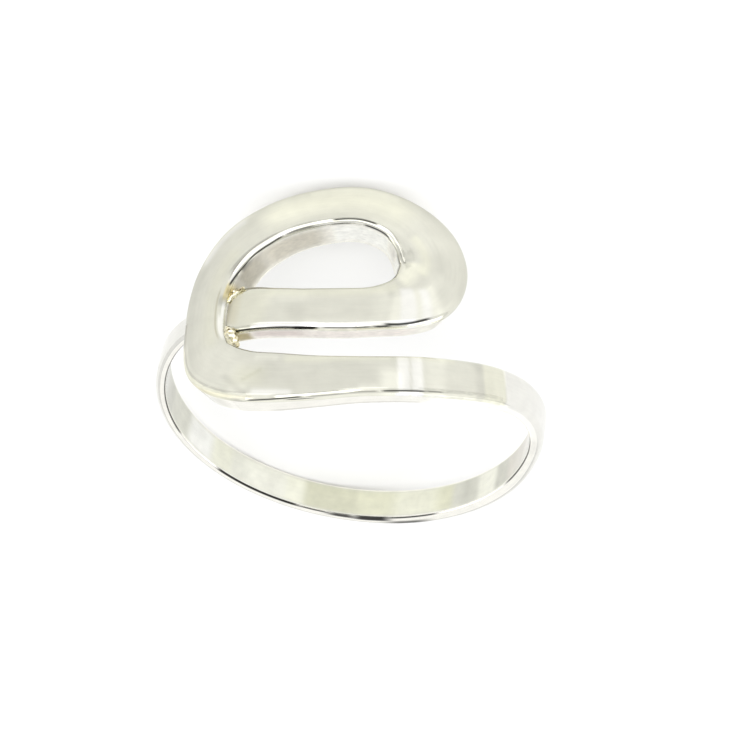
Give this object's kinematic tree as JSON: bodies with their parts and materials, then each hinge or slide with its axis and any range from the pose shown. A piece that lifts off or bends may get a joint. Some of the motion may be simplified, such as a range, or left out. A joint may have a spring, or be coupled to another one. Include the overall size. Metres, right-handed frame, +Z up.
{
  "type": "swirl ring",
  "caption": "Slender silver finger ring whose flat band rises on the front and winds into a broad open swirl with a crossbar, then tucks back under itself.",
  "frame": {"origin": "middle of the ring's bounding box, on the floor under it, as it lies on its side", "axes": "+Z up; the swirl faces -Y, towards the viewer; the finger hole runs about 13.5 degrees off Z, leaning back"},
  "size_m": [0.0184, 0.0202, 0.0113],
  "materials": {
    "silver": "satin-polished silver with softened edges"
  },
  "bodies": {
    "root": {"swirl_ring": "silver"}
  },
  "joints": []
}
